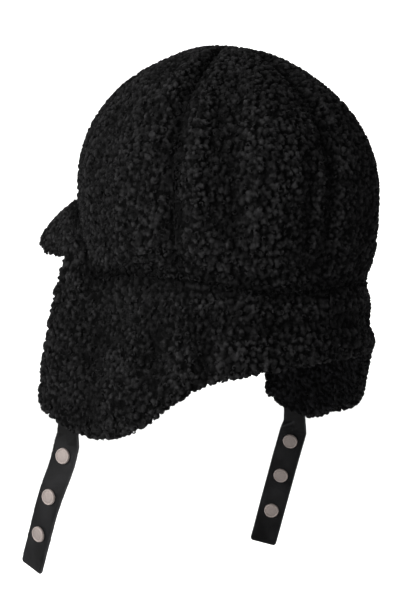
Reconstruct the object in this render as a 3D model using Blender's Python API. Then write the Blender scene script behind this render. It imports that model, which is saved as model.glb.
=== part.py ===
"""A black curly fleece trapper hat: six crown panels, a peak, lined ear flaps and snap straps.

The wearer faces -Y and the wearer's left is +X. The origin is the inner top of the crown,
where the hat rests on the head. Lengths are in metres and angles in degrees round the head,
0 at the forehead and 90 at the wearer's left ear.
"""

import math
from collections import namedtuple

import bpy
import bmesh
from mathutils import Vector

# Crown, measured over the fleece
CROWN_HALF_LENGTH = 0.110
CROWN_HALF_WIDTH = 0.0915
CROWN_RISE = 0.100
CROWN_POINT = 0.59
CROWN_LEAN = 0.0090
CROWN_WALL = 0.0085
CREASE_DROP = 0.062
CREASE_SHARE = 0.905
PANEL_COUNT = 6
SEAM_TURN = -5.0
POLE_LEAN = 0.15
SEAM_DEPTH = 0.0032
SEAM_HALF_WIDTH = 0.0075
PANEL_FULLNESS = 0.0022
EDGE_TUCK = 0.0006
EDGE_TUCK_WIDTH = 0.0110
TOP_FADE = 0.3
PANEL_COLUMNS = 12
PANEL_ROWS = 16

# Front opening and peak
FOREHEAD_LIFT = 0.010
TEMPLE_DROP = 0.036
TEMPLE_ANGLE = 56.5
PEAK_REACH = 0.0428
PEAK_HALF_WIDTH = 0.053
PEAK_FRONT_DROP = 0.0225
PEAK_CORNER_DROP = 0.039
PEAK_CORNER_BACK = 0.009
PEAK_THICKNESS = 0.0100
PEAK_ARCH = 0.0068
PEAK_SIDE_SAG = 0.0098
PEAK_CORNER_EASE = 0.3
PEAK_UNDER_LEAN = 20.4
PEAK_BLUNT = 0.20
PEAK_ROWS = 7

# Ear flaps and nape
FLAP_LEVEL_ANGLE = 61.0
FLAP_TOP_ANGLE = 73.0
FLAP_DROP = 0.098
PROUD_SHARE = 0.02
SHELL_LAYER = 0.0046
LINING_LAYER = 0.0040
LINING_SHORT = 0.0020
HEM_ROUND = 0.0050
HEM_BLUNT = 0.16
SEWN_SHARE = 0.25
SKIRT_COLUMNS = 21
SKIRT_ROWS = 9

# Straps
LEFT_STRAP_ANGLE = 68.4
RIGHT_STRAP_ANGLE = 72.5
STRAP_WIDTH = 0.0197
STRAP_THICKNESS = 0.0020
STRAP_LENGTH = 0.1050
STRAP_TONGUE = 0.0090
STRAP_END_ROUND = 0.0014
STRAP_TURN_START = 0.0030
STRAP_TURN_END = 0.0112
STRAP_ENTRY_SHARE = 0.15
STRAP_STATIONS = 22
STRAP_STEPS = 60

# Snap fasteners
SNAP_COUNT = 3
SNAP_START = 0.0196
SNAP_PITCH = 0.0290
CAP_DIAMETER = 0.0106
CAP_HEIGHT = 0.0022
POST_DIAMETER = 0.0036
SNAP_BASE_DIAMETER = 0.0090
SNAP_BASE_HEIGHT = 0.0022
SOCKET_DIAMETER = 0.0046
SOCKET_DEPTH = 0.0016
STUD_DIAMETER = 0.0042
STUD_HEIGHT = 0.0018
SNAP_SIDES = 10

# Clearance between neighbouring pieces
GAP = 0.0003

# Meshing
EDGE_CROWDING = 0.94
END_CROWDING = 1.35
SLOPE_ANGLE = 2.0
SLOPE_SHARE = 0.02
POLE_SHARE = 0.001
MERGE_DISTANCE = 0.000005
SHARP_ANGLE = 50.0

WIDEST_Z = CROWN_WALL - CROWN_RISE
PANEL_ANGLE = 360.0 / PANEL_COUNT

# A crown fold runs from a latitude near the top (0) past the widest ring (1) down to the crease.
# Its half width is a share of CROWN_HALF_WIDTH and its height a share of CROWN_WALL.
CrownFold = namedtuple("CrownFold", "top_angle low_angle start end half_width height")
CROWN_FOLDS = (
    CrownFold(107, 104, 0.12, 0.95, 0.10, 0.34),
    CrownFold(122, 123, 0.40, 1.35, 0.07, 0.36),
    CrownFold(131, 139, 0.35, 1.45, 0.13, -0.62),
    CrownFold(147, 149, 0.50, 1.40, 0.14, 0.34),
    CrownFold(159, 160, 0.60, 1.25, 0.04, 0.18),
    CrownFold(164, 166, 0.65, 1.35, 0.04, -0.30),
    CrownFold(169, 171, 0.60, 1.20, 0.04, 0.20),
    CrownFold(165, 166, 0.95, 1.42, 0.12, -0.34),
    CrownFold(192, 197, 0.85, 1.50, 0.09, -0.55),
    CrownFold(206, 209, 0.40, 1.30, 0.10, 0.10),
    CrownFold(224, 226, 0.50, 1.50, 0.24, -0.66),
    CrownFold(225, 225, 0.10, 0.72, 0.28, -0.34),
    CrownFold(48, 46, 0.32, 0.96, 0.28, 0.45),
    CrownFold(76, 84, 0.45, 1.42, 0.14, -0.30),
    CrownFold(92, 96, 0.70, 1.45, 0.10, 0.26),
    CrownFold(262, 268, 0.50, 1.45, 0.12, -0.32),
    CrownFold(285, 281, 0.20, 0.95, 0.11, 0.28),
    CrownFold(24, 20, 0.25, 0.95, 0.13, -0.24),
    CrownFold(330, 336, 0.25, 0.95, 0.12, -0.22),
)

# A crown roll runs round the head at one latitude, between two angles.
# Its half height is a share of CREASE_DROP and its height a share of CROWN_WALL.
CrownRoll = namedtuple("CrownRoll", "start_angle end_angle latitude half_height height")
CROWN_ROLLS = (
    CrownRoll(98, 150, 1.24, 0.08, 0.22),
    CrownRoll(100, 146, 1.15, 0.07, -0.20),
    CrownRoll(145, 205, 1.36, 0.10, -0.20),
    CrownRoll(205, 262, 1.22, 0.09, 0.20),
    CrownRoll(60, 96, 1.30, 0.10, 0.20),
)

# A skirt row is one upright section. Its shares of the crown's ring are taken at the top edge and
# at the hem, and its drop from crease to hem is a share of FLAP_DROP.
SkirtRow = namedtuple("SkirtRow", "angle top_share hem_share drop_share")
SKIRT_SECTIONS = {
    "left": (
        SkirtRow(57, 1.115, 1.300, 0.790),
        SkirtRow(63, 1.030, 1.240, 0.855),
        SkirtRow(69, 0.960, 1.165, 0.920),
        SkirtRow(76, 0.925, 1.105, 0.972),
        SkirtRow(90, 0.905, 1.050, 0.963),
        SkirtRow(103, 0.905, 1.010, 0.880),
        SkirtRow(114, 0.905, 0.990, 0.735),
        SkirtRow(128, 0.905, 0.975, 0.600),
        SkirtRow(152, 0.905, 0.970, 0.520),
        SkirtRow(180, 0.905, 0.965, 0.450),
    ),
    "right": (
        SkirtRow(60, 1.055, 1.110, 0.760),
        SkirtRow(66, 0.990, 1.150, 0.860),
        SkirtRow(73, 0.940, 1.140, 0.925),
        SkirtRow(80, 0.915, 1.112, 0.936),
        SkirtRow(90, 0.905, 1.090, 0.878),
        SkirtRow(100, 0.905, 1.075, 0.838),
        SkirtRow(110, 0.905, 1.040, 0.745),
        SkirtRow(119, 0.905, 1.005, 0.560),
        SkirtRow(130, 0.905, 0.975, 0.410),
        SkirtRow(152, 0.905, 0.970, 0.415),
        SkirtRow(180, 0.905, 0.965, 0.450),
    ),
}

# A skirt fold runs from a height share (0 at the crease, 1 at the hem) down to another.
# Its half width is a share of CROWN_HALF_WIDTH and its height a share of SHELL_LAYER.
SkirtFold = namedtuple("SkirtFold", "top_angle low_angle start end half_width height")
SKIRT_FOLDS = {
    "left": (
        SkirtFold(70, 68, 0.05, 1.20, 0.10, 0.50),
        SkirtFold(80, 82, 0.10, 1.05, 0.08, -0.40),
        SkirtFold(95, 93, 0.15, 1.30, 0.12, 0.70),
        SkirtFold(108, 105, 0.00, 0.90, 0.07, -0.45),
        SkirtFold(119, 117, 0.10, 1.25, 0.08, 0.45),
        SkirtFold(131, 123, 0.00, 1.15, 0.06, -0.50),
        SkirtFold(141, 138, 0.10, 1.30, 0.08, 0.45),
        SkirtFold(153, 155, 0.05, 1.10, 0.06, -0.40),
        SkirtFold(166, 167, 0.10, 1.20, 0.08, 0.40),
    ),
    "right": (
        SkirtFold(72, 70, 0.05, 1.20, 0.10, 0.45),
        SkirtFold(86, 84, 0.10, 1.05, 0.08, -0.40),
        SkirtFold(101, 98, 0.10, 1.20, 0.10, 0.60),
        SkirtFold(117, 113, 0.00, 1.00, 0.07, -0.45),
        SkirtFold(133, 131, 0.10, 1.25, 0.09, 0.20),
        SkirtFold(148, 147, 0.00, 1.15, 0.07, -0.55),
        SkirtFold(164, 166, 0.10, 1.20, 0.09, 0.50),
    ),
}

# A skirt roll runs level between two angles, at one distance below the crease.
# Its level and half height are shares of FLAP_DROP and its height a share of SHELL_LAYER.
SkirtRoll = namedtuple("SkirtRoll", "start_angle end_angle level half_height height")
SKIRT_ROLLS = {
    "left": (
        SkirtRoll(58, 185, 0.075, 0.055, 0.50),
        SkirtRoll(132, 185, 0.220, 0.070, -0.50),
        SkirtRoll(60, 112, 0.330, 0.090, -0.35),
        SkirtRoll(60, 118, 0.640, 0.150, 0.55),
    ),
    "right": (
        SkirtRoll(58, 185, 0.075, 0.055, 0.50),
        SkirtRoll(120, 185, 0.230, 0.070, -0.80),
        SkirtRoll(60, 112, 0.400, 0.100, -0.35),
        SkirtRoll(60, 112, 0.650, 0.140, 0.45),
    ),
}

# A strap row is a point along the strap: how far it leans forward and outward, and the way it faces.
StrapRow = namedtuple("StrapRow", "share lean splay facing")
STRAP_ROWS = {
    "left": (
        StrapRow(0.00, 14.0, 4.0, 110.0),
        StrapRow(0.17, 14.0, 6.0, 111.0),
        StrapRow(0.32, 17.0, 14.0, 109.0),
        StrapRow(0.46, 24.0, 5.0, 107.0),
        StrapRow(0.62, 28.0, -4.0, 105.0),
        StrapRow(0.80, 27.0, -3.0, 104.0),
        StrapRow(1.00, 26.0, -3.0, 104.0),
    ),
    "right": (
        StrapRow(0.00, 20.0, 0.0, 52.0),
        StrapRow(0.17, 25.0, 2.0, 51.0),
        StrapRow(0.32, 27.0, 6.0, 49.0),
        StrapRow(0.46, 25.0, 4.0, 47.0),
        StrapRow(0.62, 21.5, 0.0, 44.0),
        StrapRow(0.80, 21.0, 0.0, 42.0),
        StrapRow(1.00, 22.0, 0.0, 40.0),
    ),
}

# A cap row is a ring of the snap's cap: shares of the cap's radius and of CAP_HEIGHT.
# A stud row is a ring of the stud: shares of the stud's radius and of STUD_HEIGHT.
CapRow = namedtuple("CapRow", "radius height")
CAP_ROWS = (
    CapRow(0.00, 1.00),
    CapRow(0.62, 0.86),
    CapRow(0.94, 0.45),
    CapRow(1.00, 0.00),
)
StudRow = namedtuple("StudRow", "radius height")
STUD_ROWS = (
    StudRow(0.85, 0.00),
    StudRow(1.00, 0.70),
    StudRow(0.80, 1.00),
    StudRow(0.00, 1.00),
)
SNAP_BASE_FOOT = 0.92

SIDES = {"left": 1.0, "right": -1.0}
STRAP_ANGLES = {"left": LEFT_STRAP_ANGLE, "right": RIGHT_STRAP_ANGLE}

FLEECE_COLOUR = (0.012, 0.012, 0.013, 1.0)
LINING_COLOUR = (0.018, 0.018, 0.019, 1.0)
LEATHER_COLOUR = (0.010, 0.010, 0.011, 1.0)
NICKEL_COLOUR = (0.62, 0.56, 0.53, 1.0)


def clear_scene():
    """Take every object out of the open file."""
    for item in list(bpy.data.objects):
        bpy.data.objects.remove(item, do_unlink=True)


def make_material(name, colour, roughness, metallic):
    """A Principled material of one colour."""
    material = bpy.data.materials.new(name)
    material.use_nodes = True
    shader = material.node_tree.nodes["Principled BSDF"]
    shader.inputs["Base Color"].default_value = colour
    shader.inputs["Roughness"].default_value = roughness
    shader.inputs["Metallic"].default_value = metallic
    material.diffuse_color = colour
    return material


def smooth(value):
    """Ease from 0 to 1."""
    value = min(max(value, 0.0), 1.0)
    return value * value * (3.0 - 2.0 * value)


def crowd(value):
    """Even steps from 0 to 1 drawn closer together towards 1."""
    reach = EDGE_CROWDING * math.pi / 2.0
    return math.sin(value * reach) / math.sin(reach)


def bell(distance, half_width):
    """A soft ridge of height 1."""
    return math.exp(-(distance / half_width) ** 2)


def window(value, start, end):
    """Rise from 0 at the start to 1 in the middle and back to 0 at the end."""
    if value <= start or value >= end:
        return 0.0
    return math.sin(math.pi * (value - start) / (end - start))


def read_rows(rows, key, column, at):
    """Read a column between rows, with a smooth slope at each row."""
    keys = [getattr(row, key) for row in rows]
    values = [getattr(row, column) for row in rows]
    at = min(max(at, keys[0]), keys[-1])
    last = len(keys) - 1
    index = max(place for place in range(last) if keys[place] <= at)
    slopes = []
    for place in (index, index + 1):
        before = max(place - 1, 0)
        after = min(place + 1, last)
        slopes.append((values[after] - values[before]) / (keys[after] - keys[before]))
    span = keys[index + 1] - keys[index]
    part = (at - keys[index]) / span
    square = part * part
    cube = square * part
    return (
        (2.0 * cube - 3.0 * square + 1.0) * values[index]
        + (cube - 2.0 * square + part) * slopes[0] * span
        + (3.0 * square - 2.0 * cube) * values[index + 1]
        + (cube - square) * slopes[1] * span
    )


def edge_height(angle):
    """Height of the crown's lower edge over the widest ring, at an angle round the head."""
    turn = abs((angle + 180.0) % 360.0 - 180.0)
    if turn <= TEMPLE_ANGLE:
        arch = math.sqrt(max(1.0 - (turn / TEMPLE_ANGLE) ** 2, 0.0))
        return (FOREHEAD_LIFT + TEMPLE_DROP) * arch - TEMPLE_DROP
    fall = smooth((turn - FLAP_LEVEL_ANGLE) / (FLAP_TOP_ANGLE - FLAP_LEVEL_ANGLE))
    return -TEMPLE_DROP + (TEMPLE_DROP - CREASE_DROP) * fall


def latitude_of(height):
    """Latitude of a height over the widest ring: 0 at the top, 1 at the ring."""
    if height >= 0.0:
        return math.acos(min(height / CROWN_RISE, 1.0)) / (math.pi / 2.0)
    return 1.0 - height / (CROWN_RISE * math.pi / 2.0)


def ring_share(height):
    """Size of the crown's ring at a height, as a share of the widest ring, and its slope."""
    if height >= 0.0:
        left = max(1.0 - (height / CROWN_RISE) ** 2, 0.0)
        fall = 2.0 * CROWN_POINT * left ** (2.0 * CROWN_POINT - 1.0) * height / CROWN_RISE ** 2
        return left ** CROWN_POINT, fall
    narrowing = 1.0 - CREASE_SHARE
    share = 1.0 - narrowing * (height / CREASE_DROP) ** 2
    return share, share * 2.0 * narrowing * height / CREASE_DROP ** 2


def crown_normal(angle, height):
    """Outward direction of the even dome."""
    share, fall = ring_share(height)
    if share < POLE_SHARE:
        return Vector((0.0, 0.0, 1.0))
    turn = math.radians(angle)
    lean = 2.0 * CROWN_LEAN * max(height, 0.0) / CROWN_RISE ** 2
    return Vector((
        share * math.sin(turn) / CROWN_HALF_WIDTH,
        -share * math.cos(turn) / CROWN_HALF_LENGTH,
        fall - lean * share * math.cos(turn) / CROWN_HALF_LENGTH,
    )).normalized()


def crown_point(angle, height, lift):
    """A point of the crown, lifted along its normal from the even dome."""
    share = ring_share(height)[0]
    turn = math.radians(angle)
    forward = CROWN_LEAN * (max(height, 0.0) / CROWN_RISE) ** 2
    point = Vector((
        CROWN_HALF_WIDTH * share * math.sin(turn),
        -CROWN_HALF_LENGTH * share * math.cos(turn) - forward,
        WIDEST_Z + height,
    ))
    return point + crown_normal(angle, height) * lift


def lean_pole(angle, latitude):
    """Turn a panel's own angle and latitude to those of the dome, whose seams meet further back."""
    turn = math.radians(angle)
    drop = min(latitude, 1.0) * math.pi / 2.0
    height = math.cos(drop)
    direction = Vector((
        math.sin(drop) * math.sin(turn),
        -math.cos(turn) * math.sin(drop) + POLE_LEAN * height * height,
        height,
    )).normalized()
    leant_angle = math.degrees(math.atan2(direction.x, -direction.y))
    leant_height = CROWN_RISE * direction.z
    if latitude > 1.0:
        leant_height = -(latitude - 1.0) * CROWN_RISE * math.pi / 2.0
    return leant_angle, leant_height


def crown_relief(angle, latitude, across):
    """Height of seams, fullness and folds over the even dome. across is -1 and 1 at the seams."""
    fade = smooth(latitude / TOP_FADE)
    seam_distance = (1.0 - abs(across)) * math.radians(PANEL_ANGLE / 2.0) * CROWN_HALF_WIDTH
    relief = PANEL_FULLNESS * (1.0 - across * across)
    relief -= SEAM_DEPTH * bell(seam_distance, SEAM_HALF_WIDTH)
    for fold in CROWN_FOLDS:
        part = (latitude - fold.start) / (fold.end - fold.start)
        centre = fold.top_angle + (fold.low_angle - fold.top_angle) * part
        turn = (angle - centre + 180.0) % 360.0 - 180.0
        ridge = bell(math.radians(turn), fold.half_width)
        relief += CROWN_WALL * fold.height * ridge * window(latitude, fold.start, fold.end)
    for roll in CROWN_ROLLS:
        turn = angle % 360.0
        level = (latitude - roll.latitude) * CROWN_RISE * math.pi / 2.0
        ridge = bell(level, roll.half_height * CREASE_DROP)
        relief += CROWN_WALL * roll.height * ridge * window(turn, roll.start_angle, roll.end_angle)
    return relief * fade


def tuck(relief, to_edge):
    """Draw the relief in where a piece is sewn along its edge."""
    free = smooth(to_edge / EDGE_TUCK_WIDTH)
    return relief * free - EDGE_TUCK * (1.0 - free)


def close_layer(name, front, back, material):
    """Join a front and a back grid of points into one closed body."""
    mesh = bpy.data.meshes.new(name)
    work = bmesh.new()
    layers = []
    for grid in (front, back):
        layers.append([[work.verts.new(point) for point in row] for row in grid])
    last_row = len(front) - 1
    last_column = len(front[0]) - 1
    for row in range(last_row):
        for column in range(last_column):
            for side, order in ((0, (0, 1, 2, 3)), (1, (3, 2, 1, 0))):
                grid = layers[side]
                corners = (
                    grid[row][column],
                    grid[row + 1][column],
                    grid[row + 1][column + 1],
                    grid[row][column + 1],
                )
                work.faces.new([corners[place] for place in order])
    rim = [(0, column) for column in range(last_column)]
    rim += [(row, last_column) for row in range(last_row)]
    rim += [(last_row, column) for column in range(last_column, 0, -1)]
    rim += [(row, 0) for row in range(last_row, 0, -1)]
    for place, (row, column) in enumerate(rim):
        next_row, next_column = rim[(place + 1) % len(rim)]
        work.faces.new((
            layers[0][row][column],
            layers[0][next_row][next_column],
            layers[1][next_row][next_column],
            layers[1][row][column],
        ))
    bmesh.ops.remove_doubles(work, verts=work.verts, dist=MERGE_DISTANCE)
    bmesh.ops.dissolve_degenerate(work, edges=work.edges, dist=MERGE_DISTANCE)
    bmesh.ops.triangulate(work, faces=work.faces)
    face_outwards(work)
    work.to_mesh(mesh)
    work.free()
    return add_object(name, mesh, material)


def face_outwards(work):
    """Turn all faces of a closed body outwards."""
    bmesh.ops.recalc_face_normals(work, faces=work.faces)
    if work.calc_volume(signed=True) < 0.0:
        bmesh.ops.reverse_faces(work, faces=work.faces)


def add_object(name, mesh, material):
    """Link a mesh as a smooth-shaded object with one material."""
    mesh.materials.append(material)
    mesh.shade_smooth()
    mesh.set_sharp_from_angle(angle=math.radians(SHARP_ANGLE))
    item = bpy.data.objects.new(name, mesh)
    bpy.context.scene.collection.objects.link(item)
    return item


def panel_columns(index):
    """Angle of each column of a panel, with its place across the panel from -1 to 1."""
    columns = []
    for column in range(PANEL_COLUMNS + 1):
        across = math.sin((2.0 * column / PANEL_COLUMNS - 1.0) * math.pi / 2.0)
        angle = SEAM_TURN + (index + 0.5 + across / 2.0) * PANEL_ANGLE
        columns.append((angle, across))
    return columns


def peak_angles():
    """Angles of the front panels' columns between the temples, where the peak is sewn on."""
    angles = set()
    for index in (-1, 0):
        angles.update(round(angle, 6) for angle, across in panel_columns(index))
    return sorted(angle for angle in angles if abs(angle) < TEMPLE_ANGLE)


def build_crown_panel(name, index, material):
    """One gore of the crown, from the meeting point at the top to the crown's lower edge."""
    middle = SEAM_TURN + (index + 0.5) * PANEL_ANGLE
    shift = Vector((math.sin(math.radians(middle)), -math.cos(math.radians(middle)), 0.0)) * GAP
    front = []
    back = []
    for row in range(PANEL_ROWS + 1):
        front_row = []
        back_row = []
        for angle, across in panel_columns(index):
            end = latitude_of(edge_height(angle))
            latitude = end * row / PANEL_ROWS
            leant_angle, leant_height = lean_pole(angle, latitude)
            to_edge = (end - latitude) * CROWN_RISE * math.pi / 2.0
            relief = tuck(crown_relief(angle, latitude, across), to_edge)
            front_row.append(crown_point(leant_angle, leant_height, relief) + shift)
            back_row.append(crown_point(leant_angle, leant_height, -CROWN_WALL) + shift)
        front.append(front_row)
        back.append(back_row)
    return close_layer(name, front, back, material)


def skirt_height(side, angle, part):
    """Height of the skirt at a share of its drop, from the crown's edge to the hem."""
    top = edge_height(angle) - GAP
    hem = -CREASE_DROP - FLAP_DROP * read_rows(SKIRT_SECTIONS[side], "angle", "drop_share", angle)
    return top + (hem - top) * part


def skirt_base(side, angle, part):
    """A point of the skirt's even outer face."""
    rows = SKIRT_SECTIONS[side]
    top_share = read_rows(rows, "angle", "top_share", angle)
    hem_share = read_rows(rows, "angle", "hem_share", angle)
    share = top_share + (hem_share - top_share) * math.sin(part * math.pi / 2.0)
    turn = math.radians(angle)
    return Vector((
        SIDES[side] * CROWN_HALF_WIDTH * share * math.sin(turn),
        -CROWN_HALF_LENGTH * share * math.cos(turn),
        WIDEST_Z + skirt_height(side, angle, part),
    ))


def skirt_normal(side, angle, part):
    """Outward normal of the skirt's even face."""
    low_angle = max(angle - SLOPE_ANGLE, SKIRT_SECTIONS[side][0].angle)
    high_angle = low_angle + 2.0 * SLOPE_ANGLE
    round_head = skirt_base(side, high_angle, part) - skirt_base(side, low_angle, part)
    low_part = min(part + SLOPE_SHARE, 1.0)
    down = skirt_base(side, angle, low_part) - skirt_base(side, angle, part - SLOPE_SHARE)
    normal = (down.cross(round_head) * SIDES[side]).normalized()
    sewn = crown_normal(angle * SIDES[side], edge_height(angle))
    proud = read_rows(SKIRT_SECTIONS[side], "angle", "top_share", angle) - ring_share(edge_height(angle))[0]
    sewn.z *= 1.0 - smooth(proud / PROUD_SHARE)
    return sewn.lerp(normal, smooth(part / SEWN_SHARE)).normalized()


def skirt_point(side, angle, part, lift):
    """A point of the skirt, lifted along its normal."""
    return skirt_base(side, angle, part) + skirt_normal(side, angle, part) * lift


def skirt_relief(side, angle, part):
    """Height of the folds and rolls over the skirt's even outer face."""
    relief = 0.0
    for fold in SKIRT_FOLDS[side]:
        along = (part - fold.start) / (fold.end - fold.start)
        centre = fold.top_angle + (fold.low_angle - fold.top_angle) * along
        ridge = bell(math.radians(angle - centre), fold.half_width)
        relief += SHELL_LAYER * fold.height * ridge * window(part, fold.start, fold.end)
    level = -(skirt_height(side, angle, part) + CREASE_DROP) / FLAP_DROP
    for roll in SKIRT_ROLLS[side]:
        ridge = bell(level - roll.level, roll.half_height)
        span = window(angle, roll.start_angle, roll.end_angle)
        relief += SHELL_LAYER * roll.height * ridge * math.sqrt(span)
    return relief


def skirt_angles(side):
    """Angles of the skirt's columns: the crown's own where its edge slopes, then even steps."""
    front_angle = SKIRT_SECTIONS[side][0].angle
    seam_angle = 180.0 - math.degrees(GAP / 2.0 / CROWN_HALF_WIDTH)
    sewn = set()
    for index in range(PANEL_COUNT):
        sewn.update(round(angle * SIDES[side] % 360.0, 6) for angle, across in panel_columns(index))
    sloping = sorted(angle for angle in sewn if front_angle < angle < FLAP_TOP_ANGLE)
    level_start = min(angle for angle in sewn if angle >= FLAP_TOP_ANGLE)
    step = (seam_angle - level_start) / SKIRT_COLUMNS
    level = [level_start + step * column for column in range(SKIRT_COLUMNS + 1)]
    return [front_angle] + sloping + level


def build_skirt_layer(name, side, outer, inner, with_relief, short, material):
    """One layer of a flap and half of the nape, between two depths under the outer face."""
    angles = skirt_angles(side)
    front = []
    back = []
    for row in range(SKIRT_ROWS + 1):
        front_row = []
        back_row = []
        for angle in angles:
            full_drop = skirt_height(side, angle, 0.0) - skirt_height(side, angle, 1.0)
            limit = 1.0 - short / full_drop
            part = limit * crowd(row / SKIRT_ROWS)
            to_hem = (limit - part) * full_drop
            to_front = math.radians(angle - angles[0]) * CROWN_HALF_WIDTH
            free = smooth(min(to_hem, to_front) / HEM_ROUND)
            ease = math.sqrt(HEM_BLUNT + (1.0 - HEM_BLUNT) * free)
            middle = (outer + inner) / 2.0
            half = (outer - inner) / 2.0 * ease
            relief = 0.0
            if with_relief:
                relief = tuck(skirt_relief(side, angle, part), part * full_drop)
            front_row.append(skirt_point(side, angle, part, middle + half + relief))
            back_row.append(skirt_point(side, angle, part, middle - half))
        front.append(front_row)
        back.append(back_row)
    return close_layer(name, front, back, material)


def build_peak(material):
    """The padded visor, from the crown's front edge out and down to its own front edge."""
    angles = peak_angles()
    front = []
    back = []
    for row in range(PEAK_ROWS + 1):
        out = crowd(row / PEAK_ROWS)
        front_row = []
        back_row = []
        for angle in angles:
            share = angle / max(abs(angles[0]), abs(angles[-1]))
            height = edge_height(angle)
            seam = Vector((0.0, 0.0, 2.0 * GAP))
            root_top = crown_point(angle, height, -EDGE_TUCK) - seam
            root_low = crown_point(angle, height, -CROWN_WALL) - seam
            corner = share ** 4
            setback = PEAK_CORNER_EASE * share ** 2 + (1.0 - PEAK_CORNER_EASE) * corner
            tip = Vector((
                PEAK_HALF_WIDTH * math.sin(share * math.pi / 2.0),
                PEAK_CORNER_BACK * setback - CROWN_HALF_LENGTH - PEAK_REACH,
                WIDEST_Z + FOREHEAD_LIFT - PEAK_FRONT_DROP
                - (PEAK_CORNER_DROP - PEAK_FRONT_DROP) * share ** 2,
            ))
            arch = (PEAK_ARCH * (1.0 - corner) - PEAK_SIDE_SAG * corner) * math.sin(math.pi * out)
            side_ease = smooth((1.0 - abs(share)) * PEAK_HALF_WIDTH / HEM_ROUND)
            front_ease = smooth((1.0 - out) * PEAK_REACH / HEM_ROUND)
            ease = math.sqrt(PEAK_BLUNT + (1.0 - PEAK_BLUNT) * min(side_ease, front_ease))
            if row == 0:
                ease = 1.0
            lean = math.radians(PEAK_UNDER_LEAN)
            under = Vector((0.0, math.sin(lean), -math.cos(lean))) * PEAK_THICKNESS
            top = root_top.lerp(tip, out) + Vector((0.0, 0.0, arch))
            low = root_low.lerp(tip + under, out) + Vector((0.0, 0.0, arch))
            middle = (top + low) / 2.0
            front_row.append(middle + (top - middle) * ease)
            back_row.append(middle + (low - middle) * ease)
        front.append(front_row)
        back.append(back_row)
    return close_layer("peak", front, back, material)


def strap_frame(side, distance):
    """Centre, width direction and outward direction of a strap, from the hem down."""
    part = 1.0 - STRAP_TONGUE / FLAP_DROP
    depth = -(SHELL_LAYER + GAP / 2.0)
    angle = STRAP_ANGLES[side]
    hem = skirt_point(side, angle, 1.0, depth)
    inside = skirt_point(side, angle, part, depth)
    entry = (hem - inside).normalized()
    outward = skirt_normal(side, angle, 1.0 - STRAP_TONGUE / FLAP_DROP / 2.0)
    if distance <= 0.0:
        centre = hem + entry * distance
        direction = entry
    else:
        centre = hem.copy()
        steps = max(int(distance / STRAP_LENGTH * STRAP_STEPS), 1)
        for step in range(steps):
            share = (step + 0.5) / steps * distance / STRAP_LENGTH
            direction = strap_direction(side, share, entry)
            centre += direction * distance / steps
        share = distance / STRAP_LENGTH
        direction = strap_direction(side, share, entry)
        facing = math.radians(read_rows(STRAP_ROWS[side], "share", "facing", share))
        hung = Vector((SIDES[side] * math.sin(facing), -math.cos(facing), 0.0))
        turned = smooth((distance - STRAP_TURN_START) / (STRAP_TURN_END - STRAP_TURN_START))
        outward = outward.lerp(hung, turned)
    across = direction.cross(outward).normalized()
    outward = across.cross(direction).normalized()
    return centre, across, outward


def strap_direction(side, share, entry):
    """Way the strap runs at a share of its length."""
    lean = math.radians(read_rows(STRAP_ROWS[side], "share", "lean", share))
    splay = math.radians(read_rows(STRAP_ROWS[side], "share", "splay", share))
    hang = Vector((SIDES[side] * math.tan(splay), -math.tan(lean), -1.0)).normalized()
    return entry.lerp(hang, smooth(share / STRAP_ENTRY_SHARE)).normalized()


def strap_body(name, side, start, end, width, thickness, end_round, material):
    """A closed band along the strap's path, with its lower corners rounded."""
    front = []
    back = []
    for station in range(STRAP_STATIONS + 1):
        share = station / STRAP_STATIONS
        distance = start + (end - start) * (1.0 - (1.0 - share) ** END_CROWDING)
        centre, across, outward = strap_frame(side, distance)
        to_end = end - distance
        half = width / 2.0
        if end_round > 0.0 and to_end < end_round:
            half -= end_round - math.sqrt(end_round ** 2 - (end_round - to_end) ** 2)
        front.append([centre + across * half * place + outward * thickness / 2.0 for place in (-1, 0, 1)])
        back.append([centre + across * half * place - outward * thickness / 2.0 for place in (-1, 0, 1)])
    return close_layer(name, front, back, material)


def build_strap(side, material):
    """A leather strap, from its tongue in the hem to its free end, pierced for the snaps."""
    strap = strap_body(
        "strap_" + side, side, -STRAP_TONGUE, STRAP_LENGTH,
        STRAP_WIDTH, STRAP_THICKNESS, STRAP_END_ROUND, material,
    )
    for index in range(SNAP_COUNT):
        cutter = build_lathe(
            "hole_{}_{}".format(side, index + 1), side, index,
            ((0.0, CAP_DIAMETER), (POST_DIAMETER / 2.0 + GAP, CAP_DIAMETER),
             (POST_DIAMETER / 2.0 + GAP, -CAP_DIAMETER), (0.0, -CAP_DIAMETER)),
            material,
        )
        cut(strap, cutter)
    return strap


def cut(item, cutter):
    """Cut one object out of another, and keep the cutter as a hidden guide."""
    cutter.hide_render = True
    cutter.display_type = "WIRE"
    modifier = item.modifiers.new("cut " + cutter.name, "BOOLEAN")
    modifier.operation = "DIFFERENCE"
    modifier.solver = "EXACT"
    modifier.object = cutter


def build_lathe(name, side, index, profile, material):
    """Turn a profile of radius and height round a snap's axis, outward from the strap's middle."""
    centre, across, outward = strap_frame(side, SNAP_START + index * SNAP_PITCH)
    along = outward.cross(across)
    work = bmesh.new()
    rings = []
    for radius, height in profile:
        base = centre + outward * height
        if radius == 0.0:
            rings.append([work.verts.new(base)])
            continue
        ring = []
        for place in range(SNAP_SIDES):
            turn = 2.0 * math.pi * place / SNAP_SIDES
            spoke = across * math.cos(turn) + along * math.sin(turn)
            ring.append(work.verts.new(base + spoke * radius))
        rings.append(ring)
    for upper, lower in zip(rings, rings[1:]):
        for place in range(SNAP_SIDES):
            following = (place + 1) % SNAP_SIDES
            corners = [upper[place % len(upper)], upper[following % len(upper)],
                       lower[following % len(lower)], lower[place % len(lower)]]
            work.faces.new(list(dict.fromkeys(corners)))
    face_outwards(work)
    mesh = bpy.data.meshes.new(name)
    work.to_mesh(mesh)
    work.free()
    return add_object(name, mesh, material)


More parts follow.
